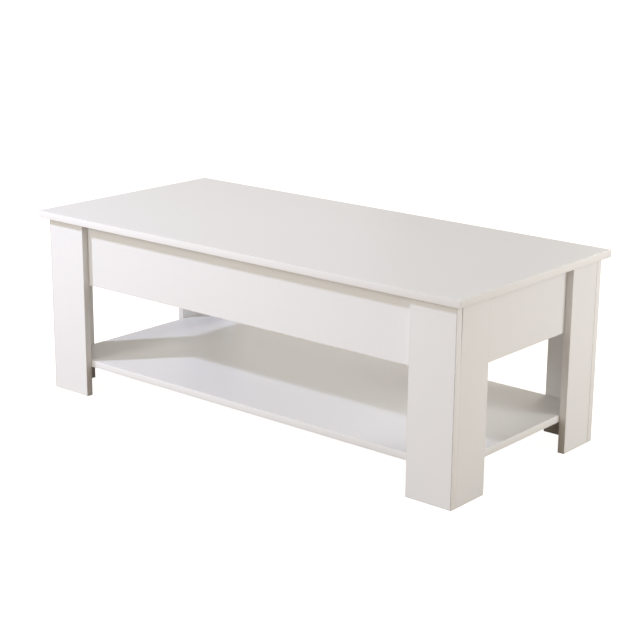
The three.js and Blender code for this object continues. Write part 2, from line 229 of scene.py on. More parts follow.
def edge_band():
    """Plastic band along a board's edges, with fine marks from its trimming."""
    finish = Finish("edge_band", Specular_IOR_Level=0.5)
    trimmed = finish.noise(1.2 * MM)
    cloud = finish.noise(80 * MM, detail=3)
    return finish.done(
        Base_Color=finish.tint(cloud, (0.81, 0.80, 0.79), (0.785, 0.775, 0.76)),
        Roughness=0.38 + 0.10 * (cloud - 0.5),
        Normal=finish.bump(trimmed, 0.02 * MM, strength=0.3),
    )


def glue_line(name, dark, light):
    """The fine line beside an edge band, with more dirt in some places than in others."""
    finish = Finish(name)
    dirt = finish.noise(40 * MM, detail=3)
    return finish.done(
        Base_Color=finish.tint(dirt.between(0.35, 0.65), dark, light),
        Roughness=0.55 + 0.1 * dirt,
    )


def chipboard():
    """The raw end of a board: pressed wood chips of mixed browns, with small hollows between them."""
    finish = Finish("chipboard_end", Specular_IOR_Level=0.3)
    chips = finish.cells(2.2 * MM, "Color")
    pores = finish.cells(1.1 * MM)
    shade = finish.node("ShaderNodeSeparateColor", None, {0: chips})
    stops = [(0.0, (0.33, 0.22, 0.12)), (0.5, (0.52, 0.38, 0.23)), (1.0, (0.66, 0.52, 0.35))]
    return finish.done(
        Base_Color=finish.ramp(shade, stops),
        Roughness=0.78 + 0.12 * pores,
        Normal=finish.bump(pores, 0.4 * MM, strength=0.6),
    )


def powder_coat():
    """Black powder coat with an orange peel skin, a little greyer where it was handled."""
    finish = Finish("powder_coat", Specular_IOR_Level=0.5)
    peel = finish.noise(0.7 * MM)
    handled = finish.noise(20 * MM, detail=3)
    return finish.done(
        Base_Color=finish.tint(handled, (0.018, 0.018, 0.020), (0.040, 0.040, 0.042)),
        Roughness=0.42 + 0.16 * (handled - 0.5),
        Normal=finish.bump(peel, 0.06 * MM, strength=0.5),
    )


def zinc(name, bright, dull, grain=(1, 1, 1)):
    """Plated steel whose sheen varies in soft patches, with a fine grain that may be stretched."""
    finish = Finish(name, Metallic=1.0)
    patches = finish.noise(4 * MM, detail=3)
    lines = finish.noise(0.5 * MM, stretch=grain)
    return finish.done(
        Base_Color=finish.tint(patches, bright, dull),
        Roughness=0.30 + 0.14 * patches,
        Normal=finish.bump(lines, 0.02 * MM, strength=0.4),
    )


def soft_rubber():
    """Soft milky pads with dust on them."""
    finish = Finish("bumper_rubber", Specular_IOR_Level=0.4)
    dust = finish.noise(2 * MM, detail=3)
    return finish.done(
        Base_Color=finish.tint(dust, (0.70, 0.70, 0.68), (0.60, 0.59, 0.56)),
        Roughness=0.42 + 0.2 * dust,
    )


FOIL = melamine("melamine_foil", roughness=0.32)
TOP_FOIL = melamine("melamine_top_foil", roughness=0.31)
BAND = edge_band()
GLUE = glue_line("glue_line", dark=(0.60, 0.57, 0.52), light=(0.74, 0.73, 0.71))
# a near-black line beside the band, along the wide leg boards' outer edges
DARK_EDGE_LINE = glue_line("dark_edge_line", dark=(0.03, 0.025, 0.02), light=(0.16, 0.14, 0.115))
RAW = chipboard()
COATED = powder_coat()
ZINC = zinc("zinc_plate", bright=(0.74, 0.75, 0.76), dull=(0.60, 0.61, 0.63))
DRAWN = zinc("drawn_bar", bright=(0.70, 0.71, 0.73), dull=(0.56, 0.57, 0.59), grain=(0.1, 1, 1))
WIRE = zinc("spring_wire", bright=(0.46, 0.46, 0.48), dull=(0.33, 0.33, 0.35))
RUBBER = soft_rubber()


# ------------------------------------------------------------------ mesh helpers

HOLE_SIDES = 32
SHEET_EDGE = 0.25 * MM


def piece(name, mesh, materials, body, replaced=()):
    """Puts a mesh in the scene as a piece that rides on a body."""
    obj = bpy.data.objects.new(name, mesh)
    bpy.context.scene.collection.objects.link(obj)
    if not mesh.materials:
        for material in materials:
            mesh.materials.append(material)
    if replaced:
        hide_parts(*replaced)
    if body:
        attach(obj, body)
    return obj


def mesh_from(bm, name, smooth_angle=35):
    """A mesh whose edges look sharp where its faces meet at more than an angle in degrees."""
    mesh = bpy.data.meshes.new(name)
    bmesh.ops.recalc_face_normals(bm, faces=bm.faces)
    limit = math.radians(smooth_angle)
    for edge in bm.edges:
        edge.smooth = edge.calc_face_angle(math.pi) < limit
    for face in bm.faces:
        face.smooth = True
    bm.to_mesh(mesh)
    bm.free()
    return mesh


def moved(mesh, matrix, name):
    """A copy of a mesh in another place."""
    copy = mesh.copy()
    copy.name = name
    copy.transform(matrix)
    if matrix.determinant() < 0:
        copy.flip_normals()
    return copy


def mirrored(mesh, side, name):
    """The right hand mesh, or its mirror image for the left."""
    return moved(mesh, Matrix.Scale(SIDES[side], 4, X_AXIS), name)


def aim(axis, start):
    """A matrix that takes +Z to an axis and the origin to a start."""
    turn = Z_AXIS.rotation_difference(Vector(axis)).to_matrix().to_4x4()
    return Matrix.Translation(start) @ turn


def rounded_points(corners, radius, steps=5):
    """An outline through corners, each of them rounded."""
    points = []
    for index, corner in enumerate(corners):
        here = Vector(corner)
        back = (Vector(corners[index - 1]) - here).normalized()
        ahead = (Vector(corners[(index + 1) % len(corners)]) - here).normalized()
        for step in range(steps + 1):
            share = step / steps
            first = (here + back * radius).lerp(here, share)
            second = here.lerp(here + ahead * radius, share)
            points.append(first.lerp(second, share))
    return points


def circle(radius, count, height=0.0):
    """Points round the origin, at a height."""
    turns = [2 * math.pi * index / count for index in range(count)]
    return [Vector((radius * math.cos(turn), radius * math.sin(turn), height)) for turn in turns]


def crown(radius, height, squareness, steps=7):
    """A rounded head's outline, from axis to rim: an ellipse where squareness is 1, and boxier below."""
    points = []
    for step in range(steps + 1):
        angle = QUARTER * step / steps
        out = math.sin(angle) ** squareness
        fall = 1 - math.cos(angle) ** squareness
        points.append((radius * out, height * fall))
    return points


def lathe(profile, name, segments=48):
    """Turns a profile of (radius, height) about +Z."""
    bm = bmesh.new()
    rings = []
    for radius, height in profile:
        points = circle(radius, segments if radius > TINY else 1, height)
        rings.append([bm.verts.new(point) for point in points])
    for low, high in zip(rings, rings[1:]):
        for index in range(segments):
            after = (index + 1) % segments
            corners = [low[index % len(low)], low[after % len(low)]]
            corners += [high[after % len(high)], high[index % len(high)]]
            bm.faces.new(list(dict.fromkeys(corners)))
    bmesh.ops.remove_doubles(bm, verts=bm.verts, dist=TINY)
    return mesh_from(bm, name)


def flat_sheet(outline, holes, thickness, name, edge=SHEET_EDGE):
    """A sheet in XY, middle at z 0, with holes of (x, y, radius) and rounded edges."""
    curve = bpy.data.curves.new(name, "CURVE")
    curve.dimensions = "2D"
    curve.fill_mode = "BOTH"
    curve.extrude = thickness / 2 - edge
    curve.bevel_depth = edge
    curve.bevel_resolution = 2
    curve.offset = -edge
    rings = [outline]
    for x, y, radius in holes:
        middle = Vector((x, y, 0))
        rings.append([middle + point for point in reversed(circle(radius, HOLE_SIDES))])
    for ring in rings:
        spline = curve.splines.new("POLY")
        spline.points.add(len(ring) - 1)
        for point, place in zip(spline.points, ring):
            point.co = (place[0], place[1], 0, 1)
        spline.use_cyclic_u = True
    holder = bpy.data.objects.new(name, curve)
    bpy.context.scene.collection.objects.link(holder)
    graph = bpy.context.evaluated_depsgraph_get()
    mesh = bpy.data.meshes.new_from_object(holder.evaluated_get(graph))
    bpy.data.objects.remove(holder)
    bpy.data.curves.remove(curve)
    bm = bmesh.new()
    bm.from_mesh(mesh)
    bmesh.ops.remove_doubles(bm, verts=bm.verts, dist=TINY)
    bpy.data.meshes.remove(mesh)
    return mesh_from(bm, name)


def bent(mesh, path, name):
    """Bends a flat sheet: its y runs along a path of (x, z) points, and its x becomes y."""
    points = [Vector(point) for point in path]
    starts = [0.0]
    for first, second in zip(points, points[1:]):
        starts.append(starts[-1] + (second - first).length)
    bm = bmesh.new()
    bm.from_mesh(mesh)
    for start in starts[1:-1]:
        geometry = bm.verts[:] + bm.edges[:] + bm.faces[:]
        bmesh.ops.bisect_plane(bm, geom=geometry, plane_co=(0, start, 0), plane_no=Y_AXIS)
    for vert in bm.verts:
        along, depth = vert.co.y, vert.co.z
        index = max(0, min(len(points) - 2, sum(start <= along for start in starts) - 1))
        run = (points[index + 1] - points[index]).normalized()
        before = (points[index] - points[index - 1]).normalized() if index else run
        share = along - starts[index]
        facing_out = (run + before).normalized() if abs(share) < TINY else run
        across = Vector((facing_out.y, -facing_out.x)) * depth / facing_out.dot(run)
        place = points[index] + run * share + across
        vert.co = (place.x, vert.co.x, place.y)
    return mesh_from(bm, name)


def arc_path(corners, radius, steps=6):
    """A path through (x, z) corners, with a round bend at each right angle."""
    path = [Vector(corners[0])]
    for before, corner, after in zip(corners, corners[1:], corners[2:]):
        here = Vector(corner)
        back = (Vector(before) - here).normalized()
        ahead = (Vector(after) - here).normalized()
        centre = here + (back + ahead) * radius
        for step in range(steps + 1):
            angle = QUARTER * step / steps
            path.append(centre - ahead * radius * math.cos(angle) - back * radius * math.sin(angle))
    path.append(Vector(corners[-1]))
    return path


def path_length(path):
    """How long a path is along its runs."""
    return sum((second - first).length for first, second in zip(path, path[1:]))


def tube(points, radius, name, sides=14):
    """A round wire along points."""
    bm = bmesh.new()
    rings = []
    normal = None
    for index, point in enumerate(points):
        ahead = points[min(index + 1, len(points) - 1)] - points[max(index - 1, 0)]
        ahead.normalize()
        if normal is None:
            normal = ahead.orthogonal().normalized()
        normal = (normal - ahead * normal.dot(ahead)).normalized()
        across = ahead.cross(normal)
        spots = [normal * spot.x + across * spot.y for spot in circle(radius, sides)]
        rings.append([bm.verts.new(point + spot) for spot in spots])
    for low, high in zip(rings, rings[1:]):
        for side in range(sides):
            after = (side + 1) % sides
            bm.faces.new((low[side], low[after], high[after], high[side]))
    bm.faces.new(rings[0])
    bm.faces.new(rings[-1])
    return mesh_from(bm, name, smooth_angle=60)


# ------------------------------------------------------------------ boards

BAND_WIDTH = 0.4 * MM
GLUE_WIDTH = 0.45 * MM
DARK_LINE_WIDTH = 0.6 * MM
RIM_WIDTH = 10 * MM
BOARD_EDGE = 0.5 * MM
TOP_EDGE = 0.7 * MM

# the materials of a board's faces, in the order of their slots
FOIL_FACE, BAND_FACE, GLUE_FACE, RAW_FACE, DARK_LINE_FACE = range(5)

# the side of a leg that stands on the floor: its axis and sign
FOOT = (2, -1)

# the gap between a leg's two boards, at the floor and at the top: below zero they press into each other
LEG_GAPS = {"front": (-0.25 * MM, 2.0 * MM), "rear": (0.7 * MM, 0.7 * MM)}
# the gap is even up to this share of the leg's height
EVEN_SHARE = 0.65


def facing(vector):
    """The axis that a vector follows most, and its sign."""
    axis = max(range(3), key=lambda index: abs(vector[index]))
    return axis, 1 if vector[axis] > 0 else -1


def board_mesh(name, size, edge, foot, dark_line_side):
    """A board about the origin: foil on two faces, a band round its edges, a glue line between."""
    bm = bmesh.new()
    bmesh.ops.create_cube(bm, size=1, matrix=Matrix.Diagonal((*size, 1)))
    for face in bm.faces:
        face.material_index = RAW_FACE if facing(face.normal) == foot else BAND_FACE
    edges = bm.edges[:]
    bmesh.ops.bevel(bm, geom=edges, offset=edge, segments=3, profile=0.5, affect="EDGES", material=BAND_FACE)
    rim = bm.verts.layers.float.new("rim")
    for vert in bm.verts:
        vert[rim] = 1.0
    thin = min(range(3), key=lambda axis: size[axis])
    glue_width = DARK_LINE_WIDTH if dark_line_side else GLUE_WIDTH
    rings = ((BAND_WIDTH, BAND_FACE), (glue_width, GLUE_FACE), (RIM_WIDTH, FOIL_FACE))
    for face in [face for face in bm.faces if abs(face.normal[thin]) > 1 - TINY]:
        middle = face.calc_center_median()
        for width, material in rings:
            ring = bmesh.ops.inset_region(bm, faces=[face], thickness=width, use_even_offset=True)
            for part in ring["faces"]:
                # the strip on the board's outer side gets the near-black line instead of the pale glue line
                dark_line = material == GLUE_FACE and dark_line_side == side_of(part, middle, size)
                part.material_index = DARK_LINE_FACE if dark_line else material
        face.material_index = FOIL_FACE
        for vert in face.verts:
            vert[rim] = 0.0
    return mesh_from(bm, name, smooth_angle=20)


def side_of(part, middle, size):
    """Which side of a board a strip of its face runs along."""
    offset = part.calc_center_median() - middle
    return facing([offset[axis] / size[axis] for axis in range(3)])


def board(node, body, edge=BOARD_EDGE, foil=FOIL, foot=None, dark_line_side=None):
    """A finished board in the place of a plain one."""
    low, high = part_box(node)
    mesh = board_mesh(f"{node}_board", high - low, edge, foot, dark_line_side)
    materials = (foil, BAND, GLUE, RAW, DARK_EDGE_LINE)
    obj = piece(f"{node}_board", mesh, materials, None, [node])
    obj.location = (low + high) / 2
    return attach(obj, body)


def open_joint(obj, way, at_floor, at_top):
    """Draws a leg's return board back from the wide board, by a gap that may widen in its upper part."""
    height = obj.dimensions.z
    bm = bmesh.new()
    bm.from_mesh(obj.data)
    geometry = bm.verts[:] + bm.edges[:] + bm.faces[:]
    fold = Vector((0, 0, (EVEN_SHARE - 0.5) * height))
    bmesh.ops.bisect_plane(bm, geom=geometry, plane_co=fold, plane_no=Z_AXIS)
    for vert in bm.verts:
        if vert.co.y * way > 0:
            share = max(0, vert.co.z - fold.z) / (height / 2 - fold.z)
            vert.co.y -= way * (at_floor + (at_top - at_floor) * share)
    bm.to_mesh(obj.data)
    bm.free()


def make_boards():
    """Every board. The wide leg boards' outer edges get a near-black line beside their band, and each leg's
    joint opens a little.
    """
    board("table_top", "top", TOP_EDGE, TOP_FOIL)
    for node in ("front_apron", "rear_apron", "compartment_floor", "lower_shelf"):
        board(node, "base")
    for side, sign in SIDES.items():
        board(f"end_apron_{side}", "base")
        for place, way in PLACES.items():
            board(f"leg_board_{place}_{side}", "base", foot=FOOT, dark_line_side=(0, sign))
            narrow = board(f"leg_return_{place}_{side}", "base", foot=FOOT)
            open_joint(narrow, way, *LEG_GAPS[place])


# ------------------------------------------------------------------ fasteners

# heads, cores, threads, sockets and shanks are given by their radii
SCREW_HEAD = 4.0 * MM
SCREW_HEAD_HEIGHT = 2.2 * MM
SCREW_CORE = 1.45 * MM
SCREW_THREAD = 1.95 * MM
SCREW_LENGTH = 13 * MM
THREAD_PITCH = 1.4 * MM
THREAD_TURNS = 6
POINT_TURNS = 2
POINT_SHRINKS = 0.75

# one turn of the thread: radii, and how far along the pitch each is
THREAD = ((SCREW_CORE, 0.4), (SCREW_THREAD, 0.85), (SCREW_CORE, 1.1))

RECESS_LENGTH = 4.2 * MM
RECESS_WIDTH = 1.0 * MM
RECESS_DEPTH = 1.3 * MM
RECESS_FOOT = 0.6
RECESS_TURN = 0.4

BOLT_HEAD = 6.5 * MM
BOLT_HEAD_HEIGHT = 2.2 * MM
SOCKET = 2.3 * MM
SOCKET_DEPTH = 1.6 * MM
SOCKET_OVERCUT = 0.8 * MM

RIVET_HEAD = 7.0 * MM
RIVET_HEAD_HEIGHT = 2.2 * MM
RIVET_SHANK = 4.0 * MM
RIVET_FORMED = 0.93


def recessed(mesh, cutters, name):
    """Cuts closed cutter meshes out of a head."""
    scene = bpy.context.scene.collection
    body = bpy.data.objects.new(name, mesh)
    scene.objects.link(body)
    tools = []
    for cutter in cutters:
        tool = bpy.data.objects.new("cutter", cutter)
        scene.objects.link(tool)
        tools.append(tool)
        cut = body.modifiers.new("cut", "BOOLEAN")
        cut.object = tool
        cut.operation = "DIFFERENCE"
        cut.solver = "EXACT"
    graph = bpy.context.evaluated_depsgraph_get()
    result = bpy.data.meshes.new_from_object(body.evaluated_get(graph))
    result.name = name
    for obj in (body, *tools):
        bpy.data.objects.remove(obj)
    return result


def cross_cutter(turn):
    """One bar of a cross recess, narrower at its foot."""
    bm = bmesh.new()
    size = (RECESS_LENGTH, RECESS_WIDTH, 2 * RECESS_DEPTH, 1)
    bmesh.ops.create_cube(bm, size=1, matrix=Matrix.Diagonal(size))
    for vert in bm.verts:
        if vert.co.z > 0:
            vert.co.x *= RECESS_FOOT
            vert.co.y *= RECESS_FOOT
    bmesh.ops.rotate(bm, verts=bm.verts, matrix=Matrix.Rotation(turn, 3, "Z"))
    return mesh_from(bm, "cross_bar")


def screw_mesh():
    """A pan head screw: head at z 0, point towards +Z, with a cross recess and a thread."""
    profile = crown(SCREW_HEAD, SCREW_HEAD_HEIGHT, squareness=0.6)
    profile.append((SCREW_CORE, SCREW_HEAD_HEIGHT))
    for turn in range(THREAD_TURNS):
        taper = 1 if turn < THREAD_TURNS - POINT_TURNS else POINT_SHRINKS
        for radius, share in THREAD:
            profile.append((radius * taper, SCREW_HEAD_HEIGHT + (turn + share) * THREAD_PITCH))
    profile.append((0, SCREW_LENGTH))
    bars = [cross_cutter(turn) for turn in (RECESS_TURN, RECESS_TURN + QUARTER)]
    return recessed(lathe(profile, "screw"), bars, "screw")


def bolt_mesh():
    """The low head of a connector bolt, its top at z 0, with a hexagon socket."""
    profile = crown(BOLT_HEAD, BOLT_HEAD_HEIGHT, squareness=0.45)
    profile.append((0, BOLT_HEAD_HEIGHT))
    bm = bmesh.new()
    corners = circle(SOCKET, 6, -SOCKET_OVERCUT)
    mouth = bm.faces.new([bm.verts.new(corner) for corner in corners])
    raised = bmesh.ops.extrude_face_region(bm, geom=[mouth])["geom"]
    verts = [part for part in raised if isinstance(part, bmesh.types.BMVert)]
    bmesh.ops.translate(bm, verts=verts, vec=Z_AXIS * (SOCKET_OVERCUT + SOCKET_DEPTH))
    return recessed(lathe(profile, "bolt"), [mesh_from(bm, "socket")], "bolt")


def rivet_mesh(length):
    """A rivet along +Z with a domed head at its start and a formed, dimpled head at its end."""
    dome = crown(RIVET_HEAD, RIVET_HEAD_HEIGHT, squareness=0.9)
    formed = [(radius * RIVET_FORMED, length - along) for radius, along in reversed(dome[2:])]
    shank = [(RIVET_SHANK, RIVET_HEAD_HEIGHT), (RIVET_SHANK, length - RIVET_HEAD_HEIGHT)]
    dimple = length - RIVET_HEAD_HEIGHT / 2
    hollow = [(RIVET_SHANK / 2, dimple), (0, dimple)]
    return lathe(dome + shank + formed + hollow, "rivet")


SCREW = screw_mesh()
BOLT = bolt_mesh()


def fastener(mesh, name, axis, start, body, node=None):
    """A screw or bolt with its head at start and its length along an axis."""
    copy = moved(mesh, aim(axis, start), name)
    replaced = [node] if node else ()
    return piece(name, copy, (ZINC,), body, replaced)


# ------------------------------------------------------------------ the lift

STEEL = 2 * MM
BEND = 2.4 * MM
WEB_SET_IN = 13.2 * MM
STEP_BELOW_PIVOT = 18 * MM
BASE_PLATE_CORNER = 6 * MM
TOP_PLATE_CORNER = 9 * MM
TOP_SCREW_INSET = 10 * MM
BASE_SCREW_SHARES = (0.1, 0.5, 0.9)
TOP_SCREW_SHARES = (0.12, 0.5, 0.88)

# the radii of the holes
SCREW_HOLE = 2.3 * MM
RIVET_HOLE = 4.3 * MM
SHAFT_HOLE = 6.3 * MM
HOOK_HOLE = 1.8 * MM

ARM_HALF_WIDTH = 11 * MM
ARM_EDGE = 0.5 * MM
ARM_END_STEPS = 24

SHAFT_CENTRE = Vector((0, FRONT_BASE_PIVOT.y, FRONT_BASE_PIVOT.z))
SHAFT_RADIUS = 6 * MM
SHAFT_EDGE = 0.6 * MM
CAP_CLEARANCE = 0.15 * MM
WELD_WIDTH = 0.9 * MM
WELD_BEADS = 26
WELD_RIPPLE = 0.14
WELD_STEPS = 7
STEPS_PER_BEAD = 4

STOP_RADIUS = 3 * MM
STOP_EDGE = 0.6 * MM
STOP_REACH = 30 * MM
STOP_CLEARANCE = 0.35 * MM

SPRING_RADIUS = 9.6 * MM
SPRING_WIRE = 1.5 * MM
SPRING_TURNS = 4
SPRING_PITCH = 3.4 * MM
SPRING_BASE_LEG = 16 * MM
SPRING_ARM_LEG = 46 * MM
COIL_CLEARANCE = 1 * MM
LEG_CLEARANCE = 0.3 * MM
HOOK_BEND = 2.2 * MM
HOOK_START = 1.2 * HOOK_BEND
LEG_BEND = 3 * MM
BEND_STEPS = 6
TURN_STEPS = 36

# where the wire starts to wind, as a share of the way from the coil down to the hook
COIL_START = 0.4


def web_plane():
    """The middle of the upright webs, on the right."""
    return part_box("lift_base_plate_right")[1].x - WEB_SET_IN - STEEL / 2


def spread(low, high, shares):
    """Places between two ends."""
    return [low + share * (high - low) for share in shares]


def base_plate_mesh():
    """A Z section: a flange on the end apron, a step inwards, and a web that holds the pivots."""
    low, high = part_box("lift_base_plate_right")
    outer = high.x - STEEL / 2
    inner = web_plane()
    step = FRONT_BASE_PIVOT.z - STEP_BELOW_PIVOT - STEEL / 2
    path = arc_path([(outer, low.z), (outer, step), (inner, step), (inner, high.z)], BEND)
    total = path_length(path)
    above = total - high.z
    corners = [(low.y, 0), (high.y, 0), (high.y, total), (low.y, total)]
    screw_height = (step + STEEL / 2 - low.z) / 2
    holes = [(y, screw_height, SCREW_HOLE) for y in spread(low.y, high.y, BASE_SCREW_SHARES)]
    holes.append((FRONT_BASE_PIVOT.y, FRONT_BASE_PIVOT.z + above, SHAFT_HOLE))
    holes.append((REAR_BASE_PIVOT.y, REAR_BASE_PIVOT.z + above, RIVET_HOLE))
    holes.append((FRONT_BASE_PIVOT.y, FRONT_BASE_PIVOT.z - SPRING_BASE_LEG + above, HOOK_HOLE))
    flat = flat_sheet(rounded_points(corners, BASE_PLATE_CORNER), holes, STEEL, "base_plate_flat")
    return bent(flat, path, "base_plate")


def top_plate_mesh():
    """An angle: a flange under the table top and a web that hangs down to the pivots."""
    low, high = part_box("lift_top_plate_right")
    roof = high.z - STEEL / 2
    inner = web_plane()
    path = arc_path([(low.x, roof), (inner, roof), (inner, low.z)], BEND)
    total = path_length(path)
    corners = [(low.y, 0), (high.y, 0), (high.y, total), (low.y, total)]
    holes = [(y, TOP_SCREW_INSET, SCREW_HOLE) for y in spread(low.y, high.y, TOP_SCREW_SHARES)]
    for pivot in (FRONT_TOP_PIVOT, REAR_TOP_PIVOT):
        holes.append((pivot.y, total - (pivot.z - low.z), RIVET_HOLE))
    flat = flat_sheet(rounded_points(corners, TOP_PLATE_CORNER), holes, STEEL, "top_plate_flat")
    return bent(flat, path, "top_plate")


def arm_mesh(node, base, top, base_bore):
    """A flat bar with round ends, pressed edges and a bore at each pivot."""
    low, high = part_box(node)
    start = math.atan2(ALONG_ARM.z, ALONG_ARM.y)
    outline = []
    for centre, turn in ((base, start + QUARTER), (top, start - QUARTER)):
        for step in range(ARM_END_STEPS + 1):
            angle = turn + math.pi * step / ARM_END_STEPS
            out = Vector((0, math.cos(angle), math.sin(angle)))
            spot = centre + out * ARM_HALF_WIDTH
            outline.append((spot.y, spot.z))
    holes = [(base.y, base.z, base_bore), (top.y, top.z, RIVET_HOLE)]
    flat = flat_sheet(outline, holes, high.x - low.x, node, ARM_EDGE)
    basis = Matrix((Z_AXIS, X_AXIS, Y_AXIS)).to_4x4()
    return moved(flat, Matrix.Translation(((low.x + high.x) / 2, 0, 0)) @ basis, node)


def weld_mesh():
    """A ring of overlapping weld ripples about +Z, between shaft and arm."""
    bm = bmesh.new()
    rings = []
    around = STEPS_PER_BEAD * WELD_BEADS
    for index in range(around):
        turn = 2 * math.pi * index / around
        width = WELD_WIDTH * (1 + WELD_RIPPLE * math.sin(WELD_BEADS * turn))
        ring = []
        for step in range(WELD_STEPS + 1):
            angle = QUARTER * step / WELD_STEPS
            out = SHAFT_RADIUS + width * math.cos(angle)
            spot = (out * math.cos(turn), out * math.sin(turn), width * math.sin(angle))
            ring.append(bm.verts.new(spot))
        rings.append(ring)
    for index, ring in enumerate(rings):
        after = rings[(index + 1) % around]
        for step in range(WELD_STEPS):
            bm.faces.new((ring[step], after[step], after[step + 1], ring[step + 1]))
    return mesh_from(bm, "weld", smooth_angle=60)


def spring_ends():
    """Where the coil starts and ends along the right half of the cross shaft."""
    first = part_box("front_arm_right")[0].x - COIL_CLEARANCE - SPRING_WIRE
    return first, first - SPRING_TURNS * SPRING_PITCH


def coil_points():
    """The hook in the base plate, and the coil that starts from it."""
    first, last = spring_ends()
    foot = SHAFT_CENTRE - Z_AXIS * SPRING_BASE_LEG
    points = [foot + X_AXIS * web_plane(), foot + X_AXIS * (first + HOOK_START)]
    for step in range(1, BEND_STEPS + 1):
        angle = QUARTER * step / BEND_STEPS
        swing = Vector((1 - math.sin(angle), 0, 1 - math.cos(angle))) * HOOK_BEND
        points.append(foot + X_AXIS * first + swing)
    below = SPRING_RADIUS + COIL_START * (SPRING_BASE_LEG - SPRING_RADIUS)
    points.append(SHAFT_CENTRE - Z_AXIS * below + X_AXIS * first)
    sweep = 2 * math.pi * SPRING_TURNS + math.atan2(ALONG_ARM.z, ALONG_ARM.y)
    steps = TURN_STEPS * SPRING_TURNS
    for step in range(steps + 1):
        share = step / steps
        angle = sweep * share - QUARTER
        spot = Vector((0, math.cos(angle), math.sin(angle))) * SPRING_RADIUS
        points.append(SHAFT_CENTRE + spot + X_AXIS * (first + (last - first) * share))
    return points


def spring_leg_points():
    """The wire from the coil's end along the front arm, and its hook under the arm."""
    last = spring_ends()[1]
    arm_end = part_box("front_arm_right")[1].x
    below = ARM_HALF_WIDTH + SPRING_WIRE + LEG_CLEARANCE
    straight = SPRING_ARM_LEG - LEG_BEND
    points = []
    for step in range(BEND_STEPS + 1):
        share = step / BEND_STEPS
        eased = share * share * (3 - 2 * share)
        off = SPRING_RADIUS + (below - SPRING_RADIUS) * eased
        points.append(SHAFT_CENTRE + ALONG_ARM * straight * share + BELOW_ARM * off + X_AXIS * last)
    under = SHAFT_CENTRE + BELOW_ARM * below
    for step in range(1, BEND_STEPS + 1):
        angle = QUARTER * step / BEND_STEPS
        reach = straight + LEG_BEND * math.sin(angle)
        out = last + LEG_BEND * (1 - math.cos(angle))
        points.append(under + ALONG_ARM * reach + X_AXIS * out)
    points.append(under + ALONG_ARM * SPRING_ARM_LEG + X_AXIS * (arm_end - SPRING_WIRE))
    return points


def make_spring(side, coil_mesh, leg_mesh):
    """The coil stays fixed about the cross shaft, and its leg goes with the front arm."""
    mesh = mirrored(coil_mesh, side, f"lift_spring_coil_{side}")
    coil = piece(mesh.name, mesh, (WIRE,), None, [f"lift_spring_{side}"])
    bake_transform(coil)
    leg = mirrored(leg_mesh, side, f"lift_spring_leg_{side}")
    piece(leg.name, leg, (WIRE,), "front_arms")


def make_lift():
    """The lift at each end: plates, arms, rivets, stop, screws and spring, and the shaft between them."""
    plates = {
        "lift_base_plate": (base_plate_mesh(), "base"),
        "lift_top_plate": (top_plate_mesh(), "top"),
    }
    arms = {
        "front_arm": arm_mesh("front_arm_right", FRONT_BASE_PIVOT, FRONT_TOP_PIVOT, SHAFT_HOLE),
        "rear_arm": arm_mesh("rear_arm_right", REAR_BASE_PIVOT, REAR_TOP_PIVOT, RIVET_HOLE),
    }
    coil_mesh = tube(coil_points(), SPRING_WIRE, "coil")
    leg_mesh = tube(spring_leg_points(), SPRING_WIRE, "leg")
    for side in SIDES:
        for kind, (mesh, body) in plates.items():
            node = f"{kind}_{side}"
            piece(f"{node}_pressed", mirrored(mesh, side, node), (COATED,), body, [node])
        for kind, mesh in arms.items():
            node = f"{kind}_{side}"
            body = "front_arms" if kind == "front_arm" else node
            piece(f"{node}_bar", mirrored(mesh, side, node), (COATED,), body, [node])
        make_rivets(side)
        make_stop(side)
        make_lift_screws(side)
        make_shaft_end(side)
        make_spring(side, coil_mesh, leg_mesh)
    make_shaft()


def make_rivets(side):
    """The rivets of the three pivots that have no shaft."""
    bodies = {"front_top_rivet": "top", "rear_top_rivet": "top", "rear_base_rivet": "base"}
    for kind, body in bodies.items():
        node = f"{kind}_{side}"
        low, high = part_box(node)
        place = aim(X_AXIS * SIDES[side], end_of(node, side))
        mesh = moved(rivet_mesh(high.x - low.x), place, f"{node}_domed")
        piece(mesh.name, mesh, (ZINC,), body, [node])


def make_stop(side):
    """The pin on the base plate that the front arm meets when the top is fully up."""
    sign = SIDES[side]
    reach = math.radians(joints["lift"]["range_deg"][1]) + math.atan2(ALONG_ARM.z, ALONG_ARM.y)
    lifted = Vector((0, math.cos(reach), math.sin(reach)))
    ahead = Vector((0, -lifted.z, lifted.y))
    off = ARM_HALF_WIDTH + STOP_RADIUS + STOP_CLEARANCE
    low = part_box("lift_base_plate_right")[0].x
    depth = web_plane() - low
    profile = [(0, 0), (STOP_RADIUS - STOP_EDGE, 0), (STOP_RADIUS, STOP_EDGE)]
    profile += [(STOP_RADIUS, depth), (0, depth)]
    place = SHAFT_CENTRE + lifted * STOP_REACH + ahead * off + X_AXIS * sign * low
    mesh = moved(lathe(profile, "stop"), aim(X_AXIS * sign, place), f"lift_stop_{side}")
    piece(mesh.name, mesh, (COATED,), "base")


def make_lift_screws(side):
    """Three screws through the base plate into the apron, and three up into the table top."""
    for number in (1, 2, 3):
        node = f"base_screw_{number}_{side}"
        fastener(SCREW, f"{node}_threaded", X_AXIS * SIDES[side], end_of(node, side), "base", node)
        node = f"top_screw_{number}_{side}"
        low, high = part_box(node)
        head = (low + high) / 2
        head.z = low.z
        fastener(SCREW, f"{node}_threaded", Z_AXIS, head, "top", node)


def end_of(node, side):
    """The middle of a node's face that looks towards the middle of the table."""
    low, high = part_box(node)
    face = (low + high) / 2
    face.x = low.x if SIDES[side] > 0 else high.x
    return face


